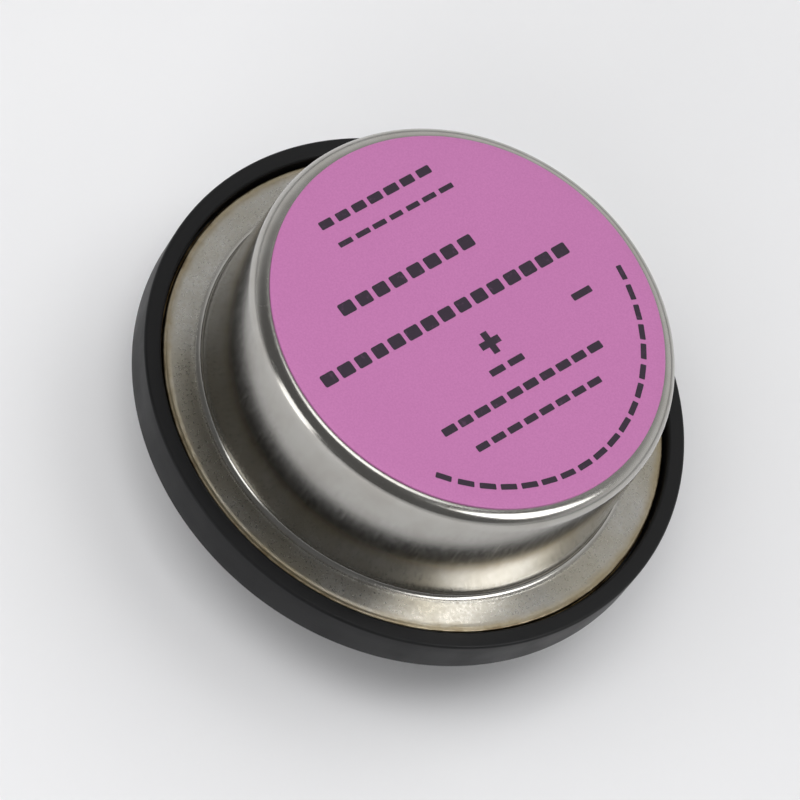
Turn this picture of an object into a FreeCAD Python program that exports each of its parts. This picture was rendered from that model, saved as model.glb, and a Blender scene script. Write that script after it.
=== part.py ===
import FreeCAD, Part
import os
import re
import Sketcher

# A flat, round lithium cell with two pins, as an assembly of separate pieces.
#
# Frame: the origin is on the cell's axis in its seating plane, the underside of the black cup.
# +Z runs along the axis to the labelled end face, and the pins reach below the origin. The negative
# pin stands on +X. Every length is in millimetres.
#
# The can is the negative pole and the centre pin the positive one. From the can's end face down,
# the stack is: anode grid, lithium, two separators, carbon, collector grid, carbon, insulator, ring.

SHEET = "Sizes"

SIZES = {
    # black cup
    "cup_radius": 11.4,
    "cup_height": 1.8,
    "cup_bore_radius": 10.7,
    "cup_floor": 0.45,
    "cup_rim_round": 0.12,
    "cup_foot_round": 0.2,
    "cup_pin_clearance": 0.06,
    # drawn can
    "can_sheet": 0.3,
    "can_top": 7.42,
    "can_shoulder_radius": 8.8,
    "can_foot_radius": 9.0,
    "can_shoulder_round": 0.6,
    "can_root_round": 0.26,
    "can_crease_radius": 9.3,
    "can_crease_step": 0.05,
    "can_flange_radius": 10.56,
    "can_flange_top": 1.5,
    "can_flange_edge_round": 0.08,
    # printed label
    "label_radius": 8.2,
    "label_thickness": 0.08,
    # cover under the flange
    "cover_sheet": 0.45,
    "cover_radius": 10.6,
    "cover_edge_round": 0.1,
    "eyelet_hole_radius": 1.75,
    "fill_hole_radius": 0.6,
    "fill_offset": 5.4,
    # glass seal and pins
    "eyelet_sheet": 0.25,
    "eyelet_lip_radius": 2.2,
    "eyelet_rise": 0.45,
    "eyelet_drop": 0.25,
    "pin_radius": 0.6,
    "tail_radius": 0.4,
    "tail_length": 4.2,
    "tail_chamfer": 0.12,
    "pin_pitch": 5.08,
    "pin_head_above_eyelet": 0.1,
    "nail_head_radius": 1.1,
    "nail_head_thickness": 0.2,
    # filling hole closure
    "fill_cap_radius": 1.2,
    "fill_cap_thickness": 0.15,
    # electrode stack
    "stack_radius": 8.05,
    "lithium_radius": 7.9,
    "anode_grid_thickness": 0.1,
    "lithium_thickness": 0.95,
    "separator_thickness": 0.2,
    "separator_radius": 8.3,
    "carbon_thickness": 1.5,
    "cathode_grid_thickness": 0.12,
    "sleeve_wall": 0.2,
    "insulator_thickness": 0.25,
    "tab_hole_radius": 1.5,
    "tab_thickness": 0.1,
    "tab_width": 1.6,
    "tab_reach": 1.1,
    "ring_wall": 0.5,
    # openings of the two grids
    "grid_hole_radius": 0.42,
    "grid_ring_pitch": 1.3,
}

# Heights that several pieces share, each worked out from the sizes above.
HEIGHTS = {
    "can_roof": "can_top - can_sheet",
    "cover_top": "can_flange_top - can_sheet",
    "cover_bottom": "can_flange_top - can_sheet - cover_sheet",
    "anode_grid_bottom": "can_top - can_sheet - anode_grid_thickness",
    "lithium_bottom": "anode_grid_bottom - lithium_thickness",
    "anode_separator_bottom": "lithium_bottom - separator_thickness",
    "cathode_separator_bottom": "anode_separator_bottom - separator_thickness",
    "upper_carbon_bottom": "cathode_separator_bottom - carbon_thickness",
    "cathode_grid_bottom": "upper_carbon_bottom - cathode_grid_thickness",
    "lower_carbon_bottom": "cathode_grid_bottom - carbon_thickness",
    "insulator_bottom": "lower_carbon_bottom - insulator_thickness",
    "eyelet_top": "cover_top + eyelet_rise",
    "eyelet_bottom": "cover_bottom - eyelet_drop",
    "pin_top": "eyelet_top + pin_head_above_eyelet",
}

ALIAS = re.compile(r"[a-z]+(?:_[a-z]+)+")
GRID_RINGS = 5
HOLES_PER_RING_STEP = 6

doc = FreeCAD.newDocument("wafer_cell")
sheet = doc.addObject("Spreadsheet::Sheet", SHEET)
pieces = []


def bound(expression):
    """The expression with each size's alias pointed at the spreadsheet."""
    return ALIAS.sub(lambda name: SHEET + "." + name.group(0), expression)


def fill_sheet():
    """One row per driving size, then one row per shared height, each with its alias."""
    rows = [(alias, str(value)) for alias, value in SIZES.items()]
    rows += [(alias, "=" + ALIAS.sub(lambda name: name.group(0), text)) for alias, text in HEIGHTS.items()]
    for number, (alias, content) in enumerate(rows, start=1):
        sheet.set("A%d" % number, alias)
        sheet.set("B%d" % number, content)
        sheet.setAlias("B%d" % number, alias)
    doc.recompute()


def value_of(expression):
    """The present value, in millimetres, of an expression on the sheet."""
    result = sheet.evalExpression(bound(expression))
    return float(getattr(result, "Value", result))


def new_body(label):
    body = doc.addObject("PartDesign::Body", label)
    body.Label = label
    pieces.append(body)
    return body


def sketch_on(body, role, name):
    """A sketch in the body, flat on the origin plane that has the given role."""
    plane = [feature for feature in body.Origin.OriginFeatures if feature.Role == role][0]
    sketch = body.newObject("Sketcher::SketchObject", body.Label + "_" + name)
    sketch.AttachmentSupport = [(plane, "")]
    sketch.MapMode = "FlatFace"
    return sketch


def hold(sketch, kind, line, expression):
    """Ties the start of a line to a distance from the sketch's origin."""
    if expression == "0":
        axis = -2 if kind == "DistanceX" else -1
        sketch.addConstraint(Sketcher.Constraint("PointOnObject", line, 1, axis))
        return
    index = sketch.addConstraint(Sketcher.Constraint(kind, -1, 1, line, 1, value_of(expression)))
    sketch.setExpression("Constraints[%d]" % index, bound(expression))


def draw_outline(sketch, corners):
    """A closed outline of straight lines through corners, each a pair of expressions."""
    points = [FreeCAD.Vector(value_of(across), value_of(along), 0) for across, along in corners]
    for number, start in enumerate(points):
        end = points[(number + 1) % len(points)]
        sketch.addGeometry(Part.LineSegment(start, end), False)
    for number in range(len(points)):
        following = (number + 1) % len(points)
        sketch.addConstraint(Sketcher.Constraint("Coincident", number, 2, following, 1))
    for number, (across, along) in enumerate(corners):
        hold(sketch, "DistanceX", number, across)
        hold(sketch, "DistanceY", number, along)


def turned(label, corners):
    """A piece of revolution about Z, from its half section as (radius, height) corners."""
    body = new_body(label)
    sketch = sketch_on(body, "XZ_Plane", "section")
    draw_outline(sketch, corners)
    solid = body.newObject("PartDesign::Revolution", label + "_turned")
    solid.Profile = sketch
    solid.ReferenceAxis = (sketch, ["V_Axis"])
    solid.Angle = 360
    doc.recompute()
    return body


def ring(label, inner, outer, bottom, top):
    """A plain disc, or a ring where the inner radius isn't 0."""
    return turned(label, [(inner, bottom), (outer, bottom), (outer, top), (inner, top)])


def round_edges(body, places, size):
    """Fillets the circular edges at the given (radius, height) places."""
    solid = body.Tip
    names = []
    for radius, height in places:
        for number, edge in enumerate(solid.Shape.Edges, start=1):
            curve = edge.Curve
            if curve.TypeId != "Part::GeomCircle":
                continue
            near_radius = abs(curve.Radius - value_of(radius)) < 1e-4
            near_height = abs(curve.Center.z - value_of(height)) < 1e-4
            if near_radius and near_height:
                names.append("Edge%d" % number)
    if len(names) < len(places):
        raise RuntimeError(body.Label + ": an edge to round was not found")
    fillet = body.newObject("PartDesign::Fillet", "%s_round_%d" % (body.Label, len(body.Group)))
    fillet.Base = (solid, names)
    fillet.setExpression("Radius", bound(size))
    doc.recompute()


def bore(body, name, radius, offset="0", sink=None):
    """A round hole parallel to Z at a distance along X: right through, or sunk by (top, depth)."""
    before = body.Shape.Volume
    sketch = sketch_on(body, "XY_Plane", name)
    centre = FreeCAD.Vector(value_of(offset), 0, 0)
    sketch.addGeometry(Part.Circle(centre, FreeCAD.Vector(0, 0, 1), value_of(radius)), False)
    sketch.addConstraint(Sketcher.Constraint("PointOnObject", 0, 3, -1))
    if offset == "0":
        sketch.addConstraint(Sketcher.Constraint("PointOnObject", 0, 3, -2))
    else:
        index = sketch.addConstraint(Sketcher.Constraint("DistanceX", -1, 1, 0, 3, value_of(offset)))
        sketch.setExpression("Constraints[%d]" % index, bound(offset))
    index = sketch.addConstraint(Sketcher.Constraint("Radius", 0, value_of(radius)))
    sketch.setExpression("Constraints[%d]" % index, bound(radius))
    pocket = body.newObject("PartDesign::Pocket", body.Label + "_" + name + "_cut")
    pocket.Profile = sketch
    if sink:
        top, depth = sink
        sketch.setExpression("AttachmentOffset.Base.z", bound(top))
        pocket.Type = "Length"
        pocket.setExpression("Length", bound(depth))
    else:
        pocket.Type = "ThroughAll"
        pocket.Midplane = True
    doc.recompute()
    if not body.Shape.Volume < before:
        raise RuntimeError(body.Label + ": the hole %s cuts nothing" % name)
    return pocket


def move_along_x(piece, offset):
    piece.setExpression("Placement.Base.x", bound(offset))


def make_cup():
    """Moulded black cup: a floor with two pin holes and a raised rim."""
    cup = turned("insulating_cup", [
        ("0", "0"),
        ("cup_radius", "0"),
        ("cup_radius", "cup_height"),
        ("cup_bore_radius", "cup_height"),
        ("cup_bore_radius", "cup_floor"),
        ("0", "cup_floor"),
    ])
    round_edges(cup, [("cup_radius", "0")], "cup_foot_round")
    round_edges(cup, [("cup_radius", "cup_height"), ("cup_bore_radius", "cup_height")], "cup_rim_round")
    bore(cup, "centre_pin_hole", "pin_radius + cup_pin_clearance")
    bore(cup, "side_pin_hole", "pin_radius + cup_pin_clearance", "pin_pitch")


def make_can():
    """Drawn can: a slightly tapered wall, a rounded shoulder and a flange coined flat outside a crease."""
    shoulder = ("can_shoulder_radius", "can_top")
    foot = ("can_foot_radius", "can_flange_top + can_crease_step")
    inner_shoulder = ("can_shoulder_radius - can_sheet", "can_roof")
    inner_foot = ("can_foot_radius - can_sheet", "cover_top")
    edge = ("can_flange_radius", "can_flange_top")
    can = turned("cell_can", [
        ("0", "can_top"),
        shoulder,
        foot,
        ("can_crease_radius", "can_flange_top + can_crease_step"),
        ("can_crease_radius + can_crease_step", "can_flange_top"),
        edge,
        ("can_flange_radius", "cover_top"),
        inner_foot,
        inner_shoulder,
        ("0", "can_roof"),
    ])
    round_edges(can, [shoulder], "can_shoulder_round")
    round_edges(can, [inner_shoulder], "can_shoulder_round - can_sheet")
    round_edges(can, [foot], "can_root_round")
    round_edges(can, [edge], "can_flange_edge_round")


def make_label():
    """Printed film disc on the can's end face."""
    ring("printed_label", "0", "label_radius", "can_top", "can_top + label_thickness")


def make_cover():
    """Steel cover with the holes for the seal's eyelet and for filling."""
    cover = ring("cell_cover", "0", "cover_radius", "cover_bottom", "cover_top")
    round_edges(cover, [("cover_radius", "cover_top")], "cover_edge_round")
    bore(cover, "eyelet_hole", "eyelet_hole_radius")
    bore(cover, "fill_hole", "fill_hole_radius", "0 - fill_offset")


def make_seal():
    """Flanged steel eyelet and the glass fused between it and the positive pin."""
    bore_radius = "eyelet_hole_radius - eyelet_sheet"
    turned("seal_eyelet", [
        (bore_radius, "eyelet_bottom"),
        ("eyelet_hole_radius", "eyelet_bottom"),
        ("eyelet_hole_radius", "cover_top"),
        ("eyelet_lip_radius", "cover_top"),
        ("eyelet_lip_radius", "cover_top + eyelet_sheet"),
        ("eyelet_hole_radius", "cover_top + eyelet_sheet"),
        ("eyelet_hole_radius", "eyelet_top"),
        (bore_radius, "eyelet_top"),
    ])
    ring("glass_seal", "pin_radius", bore_radius, "eyelet_bottom", "eyelet_top")


def tail_corners():
    """The solder tail's half section, from its tip up to the shoulder in the seating plane."""
    tip = "0 - tail_length"
    return [
        ("0", tip),
        ("tail_radius - tail_chamfer", tip),
        ("tail_radius", tip + " + tail_chamfer"),
        ("tail_radius", "0"),
        ("pin_radius", "0"),
    ]


def make_pins():
    """Positive feedthrough pin, and the negative pin with the nail head that is welded to the cover."""
    turned("positive_pin", tail_corners() + [("pin_radius", "pin_top"), ("0", "pin_top")])
    head_bottom = "cover_bottom - nail_head_thickness"
    nail = turned("negative_pin", tail_corners() + [
        ("pin_radius", head_bottom),
        ("nail_head_radius", head_bottom),
        ("nail_head_radius", "cover_bottom"),
        ("0", "cover_bottom"),
    ])
    move_along_x(nail, "pin_pitch")


def make_fill_closure():
    """Steel ball pressed into the filling hole, and the cap welded over it from outside."""
    ball = doc.addObject("Part::Sphere", "fill_ball")
    ball.Label = "fill_ball"
    ball.setExpression("Radius", bound("fill_hole_radius"))
    ball.setExpression("Placement.Base.z", bound("cover_bottom + fill_hole_radius"))
    move_along_x(ball, "0 - fill_offset")
    pieces.append(ball)
    cap_bottom = "cover_bottom - fill_cap_thickness"
    cap = ring("fill_cap", "0", "fill_cap_radius", cap_bottom, "cover_bottom")
    move_along_x(cap, "0 - fill_offset")


def make_potting():
    """Resin that fills the cup from its floor to the cover, round the pins, eyelet and cap."""
    resin = ring("potting_resin", "0", "cup_bore_radius", "cup_floor", "cover_bottom")
    bore(resin, "centre_pin_hole", "pin_radius")
    bore(resin, "side_pin_hole", "pin_radius", "pin_pitch")
    bore(resin, "eyelet_space", "eyelet_hole_radius", sink=("cover_bottom", "eyelet_drop"))
    bore(resin, "nail_space", "nail_head_radius", "pin_pitch", ("cover_bottom", "nail_head_thickness"))
    bore(resin, "cap_space", "fill_cap_radius", "0 - fill_offset", ("cover_bottom", "fill_cap_thickness"))


def perforated(label, radius, bottom, top):
    """A thin disc with rings of round openings, each ring a polar pattern about Z."""
    grid = ring(label, "0", radius, bottom, top)
    for number in range(1, GRID_RINGS + 1):
        before = grid.Shape.Volume
        hole = bore(grid, "opening_%d" % number, "grid_hole_radius", "grid_ring_pitch * %d" % number)
        one_hole = before - grid.Shape.Volume
        pattern = grid.newObject("PartDesign::PolarPattern", "%s_ring_%d" % (label, number))
        pattern.Originals = [hole]
        pattern.Axis = (hole.Profile[0], ["N_Axis"])
        pattern.Angle = 360
        pattern.Occurrences = HOLES_PER_RING_STEP * number
        grid.Tip = pattern
        doc.recompute()
        cut = before - grid.Shape.Volume
        if abs(cut - one_hole * pattern.Occurrences) > 1e-3 * cut:
            raise RuntimeError(label + ": ring %d is not cut right through" % number)


def make_anode():
    """Expanded nickel grid under the can's roof and the lithium disc pressed onto it."""
    perforated("anode_grid", "lithium_radius", "anode_grid_bottom", "can_roof")
    ring("lithium_anode", "0", "lithium_radius", "lithium_bottom", "anode_grid_bottom")


def make_separators():
    """Two glass-fibre discs between the electrodes."""
    ring("anode_separator", "0", "separator_radius", "anode_separator_bottom", "lithium_bottom")
    ring("cathode_separator", "0", "separator_radius", "cathode_separator_bottom", "anode_separator_bottom")


def make_cathode():
    """Porous carbon above and below the collector grid, in a glass-fibre sleeve."""
    ring("cathode_upper", "0", "stack_radius", "upper_carbon_bottom", "cathode_separator_bottom")
    perforated("cathode_grid", "stack_radius", "cathode_grid_bottom", "upper_carbon_bottom")
    ring("cathode_lower", "tab_hole_radius", "stack_radius", "lower_carbon_bottom", "cathode_grid_bottom")
    ring("cathode_sleeve", "stack_radius", "stack_radius + sleeve_wall", "insulator_bottom",
         "cathode_separator_bottom")


def make_stack_support():
    """Insulator disc under the carbon, and the ring that holds the stack off the cover."""
    ring("cover_insulator", "tab_hole_radius", "stack_radius", "insulator_bottom", "lower_carbon_bottom")
    ring("support_ring", "stack_radius - ring_wall", "stack_radius", "cover_top", "insulator_bottom")


def make_collector_tab():
    """Nickel strip from the grid's underside down through the carbon's hole and onto the pin's top."""
    tab = new_body("collector_tab")
    sketch = sketch_on(tab, "XZ_Plane", "section")
    free_end = "0 - pin_radius"
    draw_outline(sketch, [
        (free_end, "pin_top"),
        ("tab_reach", "pin_top"),
        ("tab_reach", "cathode_grid_bottom"),
        (free_end, "cathode_grid_bottom"),
        (free_end, "cathode_grid_bottom - tab_thickness"),
        ("tab_reach - tab_thickness", "cathode_grid_bottom - tab_thickness"),
        ("tab_reach - tab_thickness", "pin_top + tab_thickness"),
        (free_end, "pin_top + tab_thickness"),
    ])
    strip = tab.newObject("PartDesign::Pad", "collector_tab_strip")
    strip.Profile = sketch
    strip.Midplane = True
    strip.setExpression("Length", bound("tab_width"))
    doc.recompute()


def check_document():
    """Stops before anything is written if an object failed or a piece isn't one sound solid."""
    doc.recompute()
    for item in doc.Objects:
        if "Invalid" in item.State or "Error" in item.State:
            raise RuntimeError("%s: %s" % (item.Label, ", ".join(item.State)))
    for piece in pieces:
        shape = piece.Shape
        if shape.isNull() or not shape.isValid() or len(shape.Solids) != 1:
            raise RuntimeError(piece.Label + " is not one valid solid")


def write_pieces():
    os.makedirs("parts", exist_ok=True)
    for piece in pieces:
        piece.Shape.exportStep(os.path.join("parts", piece.Label + ".step"))
        box = piece.Shape.BoundBox
        print("%-18s volume %9.3f mm3   z %6.2f to %6.2f" % (piece.Label, piece.Shape.Volume, box.ZMin, box.ZMax))


fill_sheet()
make_cup()
make_can()
make_label()
make_cover()
make_seal()
make_pins()
make_fill_closure()
make_potting()
make_anode()
make_separators()
make_cathode()
make_stack_support()
make_collector_tab()
check_document()
write_pieces()
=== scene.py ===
import math
import random

import bmesh
import bpy
from mathutils import Matrix, Vector, noise


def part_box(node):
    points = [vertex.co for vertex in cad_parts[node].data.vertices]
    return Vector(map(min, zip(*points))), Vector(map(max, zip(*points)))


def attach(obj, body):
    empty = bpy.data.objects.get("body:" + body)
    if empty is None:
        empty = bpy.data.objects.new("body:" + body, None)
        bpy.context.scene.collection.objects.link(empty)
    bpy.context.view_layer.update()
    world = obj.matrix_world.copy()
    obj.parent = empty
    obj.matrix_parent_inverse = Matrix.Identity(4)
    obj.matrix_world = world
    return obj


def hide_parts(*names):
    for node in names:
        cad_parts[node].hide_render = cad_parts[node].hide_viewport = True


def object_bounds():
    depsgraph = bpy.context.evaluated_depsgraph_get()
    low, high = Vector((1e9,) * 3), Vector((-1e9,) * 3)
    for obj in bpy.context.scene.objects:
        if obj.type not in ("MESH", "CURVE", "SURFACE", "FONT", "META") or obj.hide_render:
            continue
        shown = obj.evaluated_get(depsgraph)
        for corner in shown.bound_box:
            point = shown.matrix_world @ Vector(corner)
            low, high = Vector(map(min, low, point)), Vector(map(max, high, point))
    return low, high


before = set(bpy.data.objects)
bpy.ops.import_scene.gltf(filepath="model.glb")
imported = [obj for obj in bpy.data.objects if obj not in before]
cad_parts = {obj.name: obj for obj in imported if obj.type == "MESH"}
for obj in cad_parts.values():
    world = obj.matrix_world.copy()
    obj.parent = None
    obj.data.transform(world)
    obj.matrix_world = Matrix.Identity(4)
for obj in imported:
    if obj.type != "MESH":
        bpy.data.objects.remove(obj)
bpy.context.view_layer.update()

# Looks of a flat round cell with a printed end label, in metres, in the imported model's own frame:
# +Z along the cell's axis, +X from the centre pin to the negative pin, the cup's underside at z = 0.

MM = 0.001
SEGMENTS = 360
FULL_TURN = 2 * math.pi

# Radii and roundings that the nodes' boxes don't give.
CAN_SHEET = 0.3 * MM
CAN_SHOULDER_RADIUS = 8.8 * MM
CAN_FOOT_RADIUS = 9.0 * MM
CAN_SHOULDER_ROUND = 0.6 * MM
CAN_ROOT_ROUND = 0.26 * MM
CREASE_RADIUS = 9.3 * MM
CREASE_STEP = 0.015 * MM
CREASE_ROUND = 0.02 * MM
FLANGE_EDGE_ROUND = 0.08 * MM
TRACK_RADIUS = 10.36 * MM
TRACK_WIDTH = 0.09 * MM
TRACK_DEPTH = 0.016 * MM
CUP_BORE_RADIUS = 10.7 * MM
CUP_RIM_ROUND = 0.12 * MM
CUP_FOOT_ROUND = 0.2 * MM
PIN_RADIUS = 0.6 * MM
PIN_HOLE_RADIUS = 0.66 * MM
TAIL_RADIUS = 0.4 * MM
TAIL_CHAMFER = 0.12 * MM
NAIL_HEAD_RADIUS = 1.1 * MM
NAIL_HEAD_THICKNESS = 0.2 * MM
WELD_RADIUS = 0.055 * MM
INK_THICKNESS = 0.008 * MM

# Plain, evenly spaced dashes that stand where a label carries print, in millimetres. Each row is
# where it starts and ends along X, its foot, and its height.
DASH_PITCH = 0.9
PRINT_ROWS = (
    (-3.1, 2.9, 5.65, 0.95),
    (-2.9, 3.3, 4.8, 0.6),
    (-4.7, 2.5, 2.08, 1.4),
    (-7.3, 5.85, -0.05, 1.4),
    (-0.9, 1.1, -2.68, 0.75),
    (-4.27, 4.38, -3.87, 0.9),
    (-3.49, 3.35, -5.0, 0.75),
)
# The same for the row that follows the label's edge: angles in degrees, then radii.
PRINT_ARC = (-141.0, -7.0, 6.95, 7.6)
# The plus sign's centre, reach and half width, then the minus sign's sides, foot, top and corner.
PLUS_MARK = (0.1, -1.2, 0.5, 0.16)
MINUS_MARK = (4.5, 5.5, -1.42, -1.12, 0.05)

# The camera: where it stands, as angles about the cell's axis, and how much it is rolled.
VIEW_AZIMUTH = -70.3
VIEW_ELEVATION = 54.8
VIEW_ROLL = 36.9
VIEW_DISTANCE = 238.8 * MM
VIEW_LENS = 270.0
VIEW_AIM = (-0.12 * MM, 0.33 * MM)

# The floor, in metres: flat out to a radius, then turned up as the arc of a circle.
FLOOR_RINGS = (0.05, 0.2, 0.45)
SWEEP_RADIUS = 0.35
SWEEP_ANGLES = range(4, 64, 4)
FLOOR_SEGMENTS = 96

# Brightness of the surroundings, and of their dark part high on the camera's side.
WORLD_PALE = 0.8
WORLD_DARK = 0.14

# Soft boxes: name, direction in the camera's right, up and back, distance, size and radiance.
# Fills light the floor and the label. Glints are seen only in what is glossy.
FILLS = (
    ("key", (0.05, 0.32, 0.94), 0.35, (0.18, 0.18), 4.1),
    ("left_fill", (-0.45, 0.35, 0.82), 0.6, (0.38, 0.38), 1.8),
    ("right_fill", (0.65, 0.55, 0.52), 0.6, (0.45, 0.45), 1.4),
    ("low_fill", (-0.25, -0.35, 0.9), 0.6, (0.38, 0.38), 1.9),
)
GLINTS = (
    ("right_glint", (0.78, 0.05, 0.63), 0.5, (0.24, 0.24), 4.6),
    ("left_glint", (-0.767, -0.067, 0.639), 0.5, (0.2, 0.3), 2.2),
    ("top_glint", (0.45, 0.62, 0.64), 0.5, (0.15, 0.15), 2.6),
)

random.seed(7)


# ---------------------------------------------------------------- meshes

def new_object(name, mesh):
    made = bpy.data.objects.new(name, mesh)
    bpy.context.scene.collection.objects.link(made)
    return made


def along(start, end, steps):
    """Points evenly spaced on a straight line, both ends left out."""
    return [(start[0] + (end[0] - start[0]) * step / steps, start[1] + (end[1] - start[1]) * step / steps)
            for step in range(1, steps)]


def rounded(before, corner, after, radius, steps):
    """Points of the arc that rounds a corner of an outline, tangent to both of its sides."""
    corner, before, after = Vector(corner), Vector(before), Vector(after)
    inward, outward = (before - corner).normalized(), (after - corner).normalized()
    half = inward.angle(outward) / 2
    reach = radius / math.tan(half)
    middle = corner + (inward + outward).normalized() * (radius / math.sin(half))
    first = corner + inward * reach - middle
    last = corner + outward * reach - middle
    turn = first.angle_signed(last)
    points = []
    for step in range(steps + 1):
        spot = middle + Matrix.Rotation(-turn * step / steps, 2) @ first
        points.append((spot.x, spot.y))
    return points


def lathe(name, outline, segments=SEGMENTS, centre=(0.0, 0.0)):
    """A closed solid of revolution about a vertical axis. The outline is a loop of (radius, height)."""
    shape = bmesh.new()
    rings = []
    for radius, height in outline:
        if radius < 1e-9:
            rings.append([shape.verts.new((centre[0], centre[1], height))])
            continue
        turn = [FULL_TURN * number / segments for number in range(segments)]
        rings.append([shape.verts.new((centre[0] + radius * math.cos(angle),
                                       centre[1] + radius * math.sin(angle), height)) for angle in turn])
    for number, ring in enumerate(rings):
        following = rings[(number + 1) % len(rings)]
        if len(ring) == 1 and len(following) == 1:
            continue
        for spot in range(segments):
            beside = (spot + 1) % segments
            corners = [ring[spot % len(ring)], ring[beside % len(ring)],
                       following[beside % len(following)], following[spot % len(following)]]
            shape.faces.new(list(dict.fromkeys(corners)))
    bmesh.ops.recalc_face_normals(shape, faces=shape.faces)
    mesh = bpy.data.meshes.new(name)
    shape.to_mesh(mesh)
    shape.free()
    for face in mesh.polygons:
        face.use_smooth = True
    return new_object(name, mesh)


def keep_edges_sharp(piece, angle=35.0):
    piece.data.set_sharp_from_angle(angle=math.radians(angle))


def cut_holes(piece, radius, axes):
    """Cuts round holes parallel to Z right through a piece, and leaves a plain mesh."""
    low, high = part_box("insulating_cup")
    cutters = []
    for number, axis in enumerate(axes):
        drill = [(0.0, low.z - MM), (radius, low.z - MM), (radius, high.z + MM), (0.0, high.z + MM)]
        cutter = lathe("drill_%d" % number, drill, 96, axis)
        change = piece.modifiers.new("hole_%d" % number, "BOOLEAN")
        change.object = cutter
        change.solver = "EXACT"
        cutters.append(cutter)
    seen = piece.evaluated_get(bpy.context.evaluated_depsgraph_get())
    piece.data = bpy.data.meshes.new_from_object(seen)
    piece.modifiers.clear()
    for cutter in cutters:
        bpy.data.objects.remove(cutter)


def ripple(piece, height, size, inner=0.0):
    """Moves a piece's points up and down by smooth noise, outside the given radius."""
    for point in piece.data.vertices:
        away = math.hypot(point.co.x, point.co.y)
        share = min(1.0, max(0.0, (away - inner) / (0.2 * MM)))
        point.co.z += share * height * noise.noise(point.co / size)


def prism(shape, corners, low, high):
    """Adds a closed upright block with the given outline to a bmesh."""
    under = [shape.verts.new((x, y, low)) for x, y in corners]
    over = [shape.verts.new((x, y, high)) for x, y in corners]
    shape.faces.new(over)
    shape.faces.new(list(reversed(under)))
    for number in range(len(corners)):
        following = (number + 1) % len(corners)
        shape.faces.new((under[number], under[following], over[following], over[number]))


def soft_block(left, right, foot, top, corner):
    """The outline of a rectangle with rounded corners."""
    outline = []
    for x, y, start in ((right - corner, top - corner, 0), (left + corner, top - corner, 90),
                        (left + corner, foot + corner, 180), (right - corner, foot + corner, 270)):
        for step in range(5):
            angle = math.radians(start + 22.5 * step)
            outline.append((x + corner * math.cos(angle), y + corner * math.sin(angle)))
    return outline


def dashes(start, end, foot, cap):
    """Outlines of a row of dashes, all about one pitch apart."""
    count = round((end - start) / DASH_PITCH)
    pitch = (end - start) / count
    outlines = []
    for number in range(count):
        place = start + number * pitch
        left = place + random.uniform(0.08, 0.13) * pitch
        right = place + random.uniform(0.84, 0.9) * pitch
        outlines.append(soft_block(left, right, foot + 0.31 * cap, foot + 0.69 * cap, 0.06 * cap))
    return outlines


def cross(x, y, reach, half):
    """The outline of a plus sign."""
    return [(x + half, y + half), (x + half, y + reach), (x - half, y + reach), (x - half, y + half),
            (x - reach, y + half), (x - reach, y - half), (x - half, y - half), (x - half, y - reach),
            (x + half, y - reach), (x + half, y - half), (x + reach, y - half), (x + reach, y + half)]


# ---------------------------------------------------------------- materials

class Nodes:
    """A material's node tree, with a Principled shader to build towards."""

    def __init__(self, name):
        self.material = bpy.data.materials.new(name)
        self.material.use_nodes = True
        self.tree = self.material.node_tree
        self.shader = self.tree.nodes["Principled BSDF"]
        self.place = self.add("ShaderNodeTexCoord").outputs["Object"]

    def add(self, kind, **settings):
        node = self.tree.nodes.new(kind)
        for name, value in settings.items():
            setattr(node, name, value)
        return node

    def link(self, source, target):
        if isinstance(source, (int, float, tuple)):
            target.default_value = source
        else:
            self.tree.links.new(source, target)

    def noise(self, size, detail=4.0, roughness=0.55, place=None, distortion=0.0):
        """Noise whose features are about the given size in metres."""
        node = self.add("ShaderNodeTexNoise")
        node.inputs["Scale"].default_value = 1 / size
        node.inputs["Detail"].default_value = detail
        node.inputs["Roughness"].default_value = roughness
        node.inputs["Distortion"].default_value = distortion
        self.link(place or self.place, node.inputs["Vector"])
        return node.outputs["Fac"]

    def stretched(self, across, along_y, along_z):
        """Places scaled on each axis, which draws a pattern out where the factor is under 1."""
        node = self.add("ShaderNodeMapping")
        self.link(self.place, node.inputs["Vector"])
        node.inputs["Scale"].default_value = (across, along_y, along_z)
        return node.outputs["Vector"]

    def spread(self, value, low, high, to_low=0.0, to_high=1.0, smooth=True):
        node = self.add("ShaderNodeMapRange")
        if smooth:
            node.interpolation_type = "SMOOTHSTEP"
        self.link(value, node.inputs["Value"])
        limits = {"From Min": low, "From Max": high, "To Min": to_low, "To Max": to_high}
        for socket, number in limits.items():
            self.link(number, node.inputs[socket])
        return node.outputs["Result"]

    def calculate(self, operation, first, second=0.0):
        node = self.add("ShaderNodeMath", operation=operation)
        self.link(first, node.inputs[0])
        self.link(second, node.inputs[1])
        return node.outputs[0]

    def mix(self, share, first, second, blend="MIX"):
        node = self.add("ShaderNodeMix", data_type="RGBA", blend_type=blend)
        self.link(share, node.inputs[0])
        self.link(first, node.inputs[6])
        self.link(second, node.inputs[7])
        return node.outputs[2]

    def radius_and_height(self):
        """Distance from the cell's axis and height above the seating plane."""
        parts = self.add("ShaderNodeSeparateXYZ")
        self.link(self.place, parts.inputs[0])
        flat = self.add("ShaderNodeCombineXYZ")
        self.link(parts.outputs[0], flat.inputs[0])
        self.link(parts.outputs[1], flat.inputs[1])
        length = self.add("ShaderNodeVectorMath", operation="LENGTH")
        self.link(flat.outputs[0], length.inputs[0])
        return length.outputs["Value"], parts.outputs[2]

    def bump(self, height, distance, strength=1.0, below=None):
        node = self.add("ShaderNodeBump")
        node.inputs["Distance"].default_value = distance
        node.inputs["Strength"].default_value = strength
        self.link(height, node.inputs["Height"])
        if below is not None:
            self.link(below, node.inputs["Normal"])
        return node.outputs["Normal"]

    def finish(self, **inputs):
        for name, value in inputs.items():
            self.link(value, self.shader.inputs[name.replace("_", " ")])
        return self.material


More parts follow.
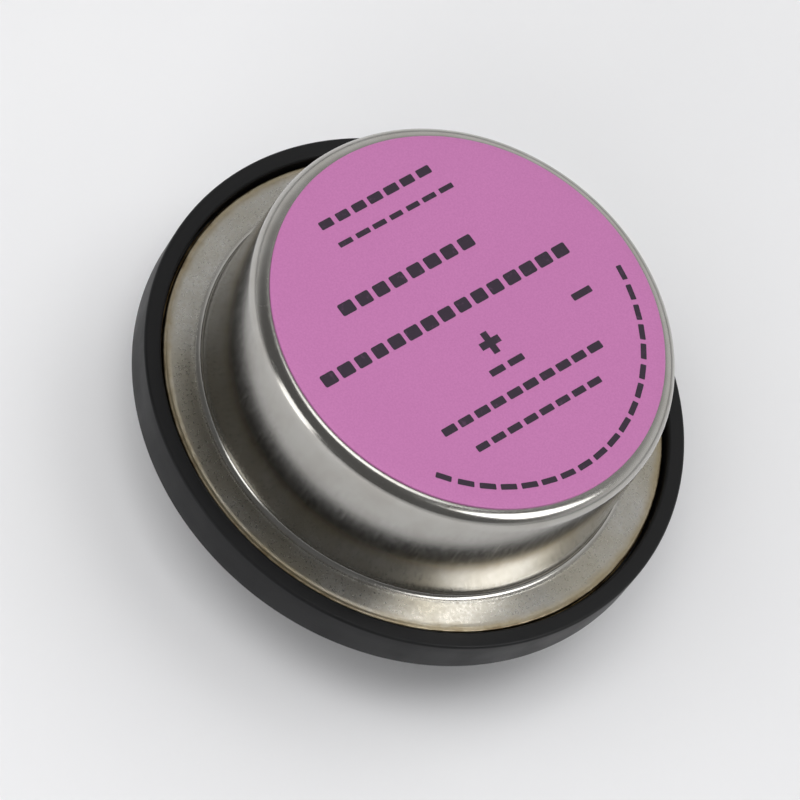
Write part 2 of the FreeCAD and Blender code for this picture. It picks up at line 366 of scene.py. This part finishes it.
def tone(red, green, blue):
    """A linear colour from the 0 to 255 values of a screen colour."""
    def linear(value):
        value /= 255
        return value / 12.92 if value <= 0.04045 else ((value + 0.055) / 1.055) ** 2.4
    return (linear(red), linear(green), linear(blue), 1.0)


def nickel():
    """Satin nickel plate on the drawn can: a smooth wall whose darker tones are painted shade, a grained
    flange and heat tint at its weld.
    """
    nodes = Nodes("nickel_plate")
    radius, height = nodes.radius_and_height()
    flange = nodes.calculate("MULTIPLY", nodes.spread(radius, 9.1 * MM, 9.35 * MM),
                             nodes.spread(height, 2.2 * MM, 1.7 * MM))
    cloudy = nodes.noise(1.5 * MM, detail=5.0)
    fine = nodes.noise(0.14 * MM, detail=3.0, roughness=0.6)
    drawn = nodes.noise(0.12 * MM, detail=4.0, place=nodes.stretched(1, 1, 0.2))
    # The wall's tones are darker than the flange's: painted shade, standing in for the shadowed floor that
    # the wall mirrors.
    wall_colour = nodes.mix(nodes.spread(cloudy, 0.35, 0.7), tone(186, 184, 179), tone(178, 175, 169))
    olive = nodes.spread(nodes.noise(5.0 * MM, detail=3.0), 0.42, 0.62)
    flange_colour = nodes.mix(nodes.spread(cloudy, 0.3, 0.65), tone(205, 203, 198), tone(191, 188, 180))
    flange_colour = nodes.mix(nodes.calculate("MULTIPLY", olive, 0.5), flange_colour, tone(184, 176, 154))
    flange_colour = nodes.mix(nodes.spread(fine, 0.4, 0.8), flange_colour, tone(181, 176, 165))
    colour = nodes.mix(flange, wall_colour, flange_colour)
    uneven = nodes.calculate("MULTIPLY", nodes.noise(0.9 * MM, detail=5.0), 0.5 * MM)
    burnt = nodes.calculate("ADD", radius, uneven)
    straw = nodes.calculate("MULTIPLY", nodes.spread(burnt, 10.32 * MM, 10.72 * MM), flange)
    brown = nodes.calculate("MULTIPLY", nodes.spread(burnt, 10.7 * MM, 10.84 * MM), flange)
    colour = nodes.mix(nodes.calculate("MULTIPLY", straw, 0.7), colour, tone(160, 143, 106))
    colour = nodes.mix(nodes.calculate("MULTIPLY", brown, 0.8), colour, tone(96, 78, 52))
    lines = nodes.spread(nodes.noise(0.07 * MM, detail=2.0, place=nodes.stretched(1, 1, 0.03)), 0.62, 0.74)
    scuffs = nodes.spread(nodes.noise(0.35 * MM, detail=6.0, roughness=0.7, distortion=1.5), 0.64, 0.72)
    rough = nodes.spread(drawn, 0.3, 0.7, 0.165, 0.205)
    rough = nodes.calculate("ADD", rough, nodes.calculate("MULTIPLY", scuffs, 0.12))
    rough = nodes.calculate("ADD", rough, nodes.calculate("MULTIPLY", lines, 0.06))
    grained = nodes.calculate("MULTIPLY", flange, nodes.spread(fine, 0.3, 0.7, 0.08, 0.15))
    rough = nodes.calculate("ADD", rough, grained)
    rough = nodes.calculate("ADD", rough, nodes.calculate("MULTIPLY", straw, 0.1))
    grain = nodes.calculate("MULTIPLY", fine, nodes.spread(flange, 0.0, 1.0, 0.35, 1.0, smooth=False))
    normal = nodes.bump(grain, 0.002 * MM)
    normal = nodes.bump(drawn, 0.0005 * MM, below=normal)
    normal = nodes.bump(nodes.noise(1.2 * MM, detail=2.0), 0.002 * MM, below=normal)
    return nodes.finish(Metallic=1.0, Base_Color=colour, Roughness=rough, Normal=normal)


def weld_metal():
    """Nickel plate burnt straw and brown by the seam weld."""
    nodes = Nodes("weld_metal")
    patches = nodes.noise(0.5 * MM, detail=5.0)
    fine = nodes.noise(0.07 * MM, detail=3.0)
    colour = nodes.mix(nodes.spread(patches, 0.35, 0.65), tone(150, 128, 88), tone(74, 58, 40))
    rough = nodes.spread(fine, 0.3, 0.7, 0.3, 0.45)
    normal = nodes.bump(fine, 0.004 * MM)
    return nodes.finish(Metallic=1.0, Base_Color=colour, Roughness=rough, Normal=normal)


def black_plastic():
    """Moulded black plastic with a low sheen, fine texture and pale dust."""
    nodes = Nodes("black_plastic")
    cloudy = nodes.noise(2.2 * MM, detail=4.0)
    dust = nodes.spread(nodes.noise(0.16 * MM, detail=6.0, roughness=0.75), 0.66, 0.8)
    colour = nodes.mix(cloudy, tone(12, 12, 13), tone(20, 20, 21))
    colour = nodes.mix(nodes.calculate("MULTIPLY", dust, 0.25), colour, tone(76, 75, 72))
    rough = nodes.spread(cloudy, 0.3, 0.7, 0.4, 0.52)
    texture = nodes.bump(nodes.noise(0.09 * MM, detail=3.0), 0.003 * MM)
    normal = nodes.bump(nodes.noise(1.4 * MM, detail=2.0), 0.01 * MM, below=texture)
    return nodes.finish(Base_Color=colour, Roughness=rough, Normal=normal, Specular_IOR_Level=0.25)


def label_film():
    """Magenta printed film with a satin face and very fine grain."""
    nodes = Nodes("label_film")
    grain = nodes.noise(0.08 * MM, detail=4.0, roughness=0.7)
    cloudy = nodes.noise(3.0 * MM, detail=3.0)
    colour = nodes.mix(nodes.spread(grain, 0.3, 0.7), tone(183, 107, 163), tone(193, 117, 173))
    colour = nodes.mix(nodes.calculate("MULTIPLY", cloudy, 0.3), colour, tone(179, 103, 159))
    fibre = nodes.bump(grain, 0.0012 * MM)
    normal = nodes.bump(nodes.noise(0.9 * MM, detail=3.0), 0.003 * MM, below=fibre)
    rough = nodes.spread(grain, 0.3, 0.7, 0.44, 0.54)
    return nodes.finish(Base_Color=colour, Roughness=rough, Normal=normal)


def ink():
    """Dark violet printing ink, a little worn where it is thin."""
    nodes = Nodes("ink")
    grain = nodes.noise(0.06 * MM, detail=4.0)
    worn = nodes.spread(nodes.noise(0.3 * MM, detail=5.0), 0.55, 0.75)
    colour = nodes.mix(grain, tone(28, 14, 32), tone(44, 26, 46))
    colour = nodes.mix(nodes.calculate("MULTIPLY", worn, 0.3), colour, tone(110, 66, 104))
    rough = nodes.spread(grain, 0.3, 0.7, 0.45, 0.6)
    return nodes.finish(Base_Color=colour, Roughness=rough, Normal=nodes.bump(grain, 0.001 * MM))


def plain(name, low, high, metallic=0.0, rough=(0.5, 0.7), size=0.3 * MM, relief=0.003 * MM):
    """A mottled finish for small or inner pieces: its colour, roughness and relief vary together."""
    nodes = Nodes(name)
    grain = nodes.noise(size, detail=5.0)
    colour = nodes.mix(nodes.spread(grain, 0.3, 0.7), low, high)
    roughness = nodes.spread(grain, 0.3, 0.7, rough[0], rough[1])
    return nodes.finish(Metallic=metallic, Base_Color=colour, Roughness=roughness,
                        Normal=nodes.bump(grain, relief))


def fibre_mat(name, low, high):
    """Felted glass fibre: two stretched noises laid across each other."""
    nodes = Nodes(name)
    one_way = nodes.noise(0.1 * MM, detail=4.0, place=nodes.stretched(0.15, 1, 1))
    other_way = nodes.noise(0.1 * MM, detail=4.0, place=nodes.stretched(1, 0.15, 1))
    strands = nodes.calculate("MAXIMUM", one_way, other_way)
    colour = nodes.mix(nodes.spread(strands, 0.4, 0.75), low, high)
    return nodes.finish(Base_Color=colour, Roughness=0.85, Normal=nodes.bump(strands, 0.02 * MM))


def floor_paint():
    """Smooth pale studio floor."""
    nodes = Nodes("floor_paint")
    colour = nodes.mix(nodes.noise(12 * MM), tone(236, 236, 238), tone(240, 240, 241))
    return nodes.finish(Base_Color=colour, Roughness=0.8, Specular_IOR_Level=0.2)


# ---------------------------------------------------------------- pieces

def dress(piece, material, slot, *nodes):
    piece.data.materials.clear()
    piece.data.materials.append(material)
    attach(piece, "root")
    if nodes:
        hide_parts(*nodes)


def axis_of(name):
    """Where a node's own vertical axis stands."""
    low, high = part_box(name)
    return ((low.x + high.x) / 2, (low.y + high.y) / 2)


def make_can(material):
    low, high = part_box("cell_can")
    flange_top = low.z + CAN_SHEET
    roof = high.z - CAN_SHEET
    top_centre = (0.0, high.z)
    shoulder = (CAN_SHOULDER_RADIUS, high.z)
    foot = (CAN_FOOT_RADIUS, flange_top + CREASE_STEP)
    crease = (CREASE_RADIUS, flange_top + CREASE_STEP)
    flat_start = (CREASE_RADIUS + CREASE_STEP, flange_top)
    edge = (high.x, flange_top)
    under_edge = (high.x, low.z)
    inner_foot = (CAN_FOOT_RADIUS - CAN_SHEET, low.z)
    inner_shoulder = (CAN_SHOULDER_RADIUS - CAN_SHEET, roof)
    outline = [top_centre] + along(top_centre, shoulder, 12)
    outline += rounded(top_centre, shoulder, foot, CAN_SHOULDER_ROUND, 16)
    outline += along(shoulder, foot, 24)[2:-1]
    outline += rounded(shoulder, foot, crease, CAN_ROOT_ROUND, 8)
    outline += rounded(foot, crease, flat_start, CREASE_ROUND, 3)
    outline += rounded(crease, flat_start, edge, CREASE_ROUND, 3)
    outline += [point for point in along(flat_start, edge, 10) if point[0] < TRACK_RADIUS - TRACK_WIDTH]
    outline += [(TRACK_RADIUS - TRACK_WIDTH / 2, flange_top), (TRACK_RADIUS, flange_top - TRACK_DEPTH),
                (TRACK_RADIUS + TRACK_WIDTH / 2, flange_top)]
    outline += rounded(flat_start, edge, under_edge, FLANGE_EDGE_ROUND, 6)
    outline += [under_edge] + along(under_edge, inner_foot, 4) + [inner_foot]
    outline += along(inner_foot, inner_shoulder, 8) + [inner_shoulder, (0.0, roof)]
    can = lathe("can_shell", outline)
    ripple(can, 0.012 * MM, 1.8 * MM, inner=9.1 * MM)
    keep_edges_sharp(can, 50)
    dress(can, material, "nickel_plated_steel", "cell_can")


def make_weld_seam(material):
    """The bead of the seam weld, along the edge of the flange and on the cover beside it."""
    flange_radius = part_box("cell_can")[1].x
    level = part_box("cell_cover")[1].z
    centre = (flange_radius + 0.015 * MM, level + 0.01 * MM)
    turn = [FULL_TURN * number / 10 for number in range(10)]
    section = [(centre[0] + WELD_RADIUS * math.cos(angle), centre[1] + WELD_RADIUS * math.sin(angle))
               for angle in turn]
    seam = lathe("weld_seam", section, 720)
    for point in seam.data.vertices:
        angle = math.atan2(point.co.y, point.co.x)
        step = 0.006 * MM * math.cos(240 * angle) + 0.012 * MM * noise.noise(point.co / (0.7 * MM))
        outward = Vector((point.co.x, point.co.y, 0.0)).normalized()
        point.co += outward * step + Vector((0.0, 0.0, step))
    dress(seam, material, "nickel_plated_steel")


def make_cup(material):
    low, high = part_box("insulating_cup")
    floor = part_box("potting_resin")[0].z
    foot, rim = (high.x, low.z), (high.x, high.z)
    inner_rim, inner_foot = (CUP_BORE_RADIUS, high.z), (CUP_BORE_RADIUS, floor)
    outline = [(0.0, low.z)] + along((0.0, low.z), foot, 8)[:-1]
    outline += rounded((0.0, low.z), foot, rim, CUP_FOOT_ROUND, 8)
    outline += along(foot, rim, 6)[1:-1]
    outline += rounded(foot, rim, inner_rim, CUP_RIM_ROUND, 8)
    outline += rounded(rim, inner_rim, inner_foot, CUP_RIM_ROUND, 8)
    outline += [inner_foot, (0.0, floor)]
    cup = lathe("cup_shell", outline)
    cut_holes(cup, PIN_HOLE_RADIUS, [axis_of("positive_pin"), axis_of("negative_pin")])
    keep_edges_sharp(cup, 50)
    dress(cup, material, "black_plastic", "insulating_cup")


def make_label(material):
    low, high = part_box("printed_label")
    centre, edge, under_edge = (0.0, high.z), (high.x, high.z), (high.x, low.z)
    outline = [centre] + along(centre, edge, 16)
    outline += rounded(centre, edge, under_edge, 0.03 * MM, 4)
    outline += [under_edge, (0.0, low.z)]
    label = lathe("label_disc", outline)
    keep_edges_sharp(label, 50)
    dress(label, material, "label_film", "printed_label")


def make_print(material):
    """Rows of plain dashes on the label, and the two polarity marks."""
    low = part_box("printed_label")[1].z - INK_THICKNESS / 2
    high = low + INK_THICKNESS
    outlines = [cross(*PLUS_MARK), soft_block(*MINUS_MARK)]
    for row in PRINT_ROWS:
        outlines += dashes(*row)
    first, last, inner, outer = PRINT_ARC
    middle = (inner + outer) / 2
    start, end = math.radians(first) * middle, math.radians(last) * middle
    for outline in dashes(start, end, -outer, outer - inner):
        outlines.append([(-y * math.cos(x / middle), -y * math.sin(x / middle)) for x, y in outline])
    shape = bmesh.new()
    for outline in outlines:
        prism(shape, [(x * MM, y * MM) for x, y in outline], low, high)
    bmesh.ops.recalc_face_normals(shape, faces=shape.faces)
    mesh = bpy.data.meshes.new("label_print")
    shape.to_mesh(mesh)
    shape.free()
    dress(new_object("label_print", mesh), material, "label_film")


def make_pins(material):
    """Both pins, each with its chamfered solder tail. The negative one has a nail head."""
    for name in ("positive_pin", "negative_pin"):
        low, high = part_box(name)
        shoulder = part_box("insulating_cup")[0].z
        head = high.z - NAIL_HEAD_THICKNESS
        outline = [(0.0, low.z), (TAIL_RADIUS - TAIL_CHAMFER, low.z), (TAIL_RADIUS, low.z + TAIL_CHAMFER),
                   (TAIL_RADIUS, shoulder), (PIN_RADIUS, shoulder)]
        if name == "negative_pin":
            outline += [(PIN_RADIUS, head), (NAIL_HEAD_RADIUS, head), (NAIL_HEAD_RADIUS, high.z)]
        else:
            outline += [(PIN_RADIUS, high.z)]
        outline += [(0.0, high.z)]
        pin = lathe(name + "_rod", outline, 64, axis_of(name))
        keep_edges_sharp(pin, 30)
        dress(pin, material, "pin_metal", name)


def dress_inner_nodes():
    """Finishes for the CAD nodes that stay as they are, most of them inside the cell."""
    steel = plain("cover_steel", tone(172, 166, 152), tone(204, 199, 188), 1.0, (0.24, 0.4))
    grid = plain("grid_nickel", tone(168, 166, 158), tone(200, 197, 190), 1.0, (0.3, 0.5), 0.15 * MM)
    carbon = plain("porous_carbon", tone(24, 24, 25), tone(46, 46, 47), 0.0, (0.75, 0.95), 0.12 * MM)
    lithium = plain("lithium_metal", tone(150, 150, 152), tone(190, 190, 188), 1.0, (0.4, 0.6), 0.8 * MM)
    glass = plain("seal_glass", tone(38, 62, 52), tone(52, 82, 70), 0.0, (0.08, 0.16))
    resin = plain("potting_resin", tone(30, 30, 33), tone(42, 42, 46), 0.0, (0.3, 0.45), 1.2 * MM, 0.01 * MM)
    film = plain("insulator_film", tone(196, 186, 160), tone(214, 206, 184), 0.0, (0.4, 0.55))
    fibre = fibre_mat("glass_fibre", tone(214, 214, 210), tone(238, 238, 234))
    finishes = {
        "cell_cover": steel, "seal_eyelet": steel, "fill_ball": steel, "fill_cap": steel,
        "anode_grid": grid, "cathode_grid": grid, "collector_tab": grid,
        "cathode_upper": carbon, "cathode_lower": carbon, "lithium_anode": lithium,
        "glass_seal": glass, "potting_resin": resin, "cover_insulator": film, "support_ring": film,
        "anode_separator": fibre, "cathode_separator": fibre, "cathode_sleeve": fibre,
    }
    for name, finish in finishes.items():
        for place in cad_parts[name].material_slots:
            place.material = finish


# ---------------------------------------------------------------- studio

def camera_axes():
    """The camera's right, up and back directions."""
    azimuth, elevation, roll = (math.radians(angle) for angle in (VIEW_AZIMUTH, VIEW_ELEVATION, VIEW_ROLL))
    back = Vector((math.sin(azimuth) * math.cos(elevation), -math.cos(azimuth) * math.cos(elevation),
                   math.sin(elevation)))
    right = Vector((math.cos(azimuth), math.sin(azimuth), 0.0))
    up = back.cross(right)
    rolled_right = right * math.cos(roll) + up * math.sin(roll)
    rolled_up = up * math.cos(roll) - right * math.sin(roll)
    return rolled_right, rolled_up, back


def make_camera():
    right, up, back = camera_axes()
    data = bpy.data.cameras.new("camera")
    data.lens = VIEW_LENS
    data.sensor_width = 36.0
    data.clip_start = 0.01
    data.clip_end = 10.0
    camera = new_object("camera", data)
    place = back * VIEW_DISTANCE + right * VIEW_AIM[0] + up * VIEW_AIM[1]
    turn = Matrix((right, up, back)).transposed().to_4x4()
    camera.matrix_world = Matrix.Translation(place) @ turn
    bpy.context.scene.camera = camera


def soft_box(name, direction, distance, size, radiance):
    """A soft box that stands off in a direction given in the camera's right, up and back."""
    right, up, back = camera_axes()
    away = (right * direction[0] + up * direction[1] + back * direction[2]).normalized()
    data = bpy.data.lights.new(name, "AREA")
    data.shape = "RECTANGLE"
    data.size, data.size_y = size
    data.energy = radiance * math.pi * size[0] * size[1]
    light = new_object(name, data)
    light.location = away * distance
    light.rotation_mode = "QUATERNION"
    light.rotation_quaternion = away.to_track_quat("Z", "Y")
    light.visible_camera = False
    return light


def make_world():
    """Pale surroundings, dark high up on the camera's side, where the metal mirrors them."""
    world = bpy.data.worlds.new("studio")
    world.use_nodes = True
    tree = world.node_tree
    direction = tree.nodes.new("ShaderNodeTexCoord").outputs["Generated"]
    toward = tree.nodes.new("ShaderNodeVectorMath")
    toward.operation = "DOT_PRODUCT"
    toward.inputs[1].default_value = camera_axes()[2]
    tree.links.new(direction, toward.inputs[0])
    parts = tree.nodes.new("ShaderNodeSeparateXYZ")
    tree.links.new(direction, parts.inputs[0])
    shares = []
    for value, start, end in ((toward.outputs["Value"], -0.1, 0.62), (parts.outputs[2], 0.04, 0.25)):
        share = tree.nodes.new("ShaderNodeMapRange")
        share.interpolation_type = "SMOOTHSTEP"
        share.inputs["From Min"].default_value = start
        share.inputs["From Max"].default_value = end
        tree.links.new(value, share.inputs["Value"])
        shares.append(share.outputs["Result"])
    dark = tree.nodes.new("ShaderNodeMath")
    dark.operation = "MULTIPLY"
    tree.links.new(shares[0], dark.inputs[0])
    tree.links.new(shares[1], dark.inputs[1])
    strength = tree.nodes.new("ShaderNodeMapRange")
    strength.inputs["To Min"].default_value = WORLD_PALE
    strength.inputs["To Max"].default_value = WORLD_DARK
    tree.links.new(dark.outputs[0], strength.inputs["Value"])
    background = tree.nodes["Background"]
    background.inputs["Color"].default_value = (1.0, 1.0, 1.0, 1.0)
    tree.links.new(strength.outputs["Result"], background.inputs["Strength"])
    bpy.context.scene.world = world


def make_floor():
    """A pale round floor that turns up into a low rim far from the object."""
    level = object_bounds()[0].z
    profile = [(radius, 0.0) for radius in FLOOR_RINGS]
    for angle in SWEEP_ANGLES:
        turn = math.radians(angle)
        profile.append((FLOOR_RINGS[-1] + SWEEP_RADIUS * math.sin(turn), SWEEP_RADIUS * (1 - math.cos(turn))))
    turns = [FULL_TURN * step / FLOOR_SEGMENTS for step in range(FLOOR_SEGMENTS)]
    shape = bmesh.new()
    rings = [[shape.verts.new((radius * math.cos(turn), radius * math.sin(turn), level + height))
              for turn in turns] for radius, height in profile]
    shape.faces.new(rings[0])
    for inner, outer in zip(rings, rings[1:]):
        for step in range(FLOOR_SEGMENTS):
            beside = (step + 1) % FLOOR_SEGMENTS
            shape.faces.new((inner[step], outer[step], outer[beside], inner[beside]))
    mesh = bpy.data.meshes.new("floor")
    shape.to_mesh(mesh)
    shape.free()
    for face in mesh.polygons:
        face.use_smooth = True
    mesh.materials.append(floor_paint())
    new_object("floor", mesh)


def light_studio():
    make_world()
    for settings in FILLS:
        soft_box(*settings).visible_glossy = False
    for settings in GLINTS:
        soft_box(*settings).visible_diffuse = False


make_camera()
make_can(nickel())
make_weld_seam(weld_metal())
make_cup(black_plastic())
make_label(label_film())
make_print(ink())
make_pins(plain("pin_metal", tone(196, 191, 179), tone(205, 200, 189), 1.0, (0.26, 0.3),
                size=1.0 * MM, relief=0.0003 * MM))
dress_inner_nodes()
make_floor()
light_studio()
bpy.context.scene.view_settings.view_transform = "Standard"
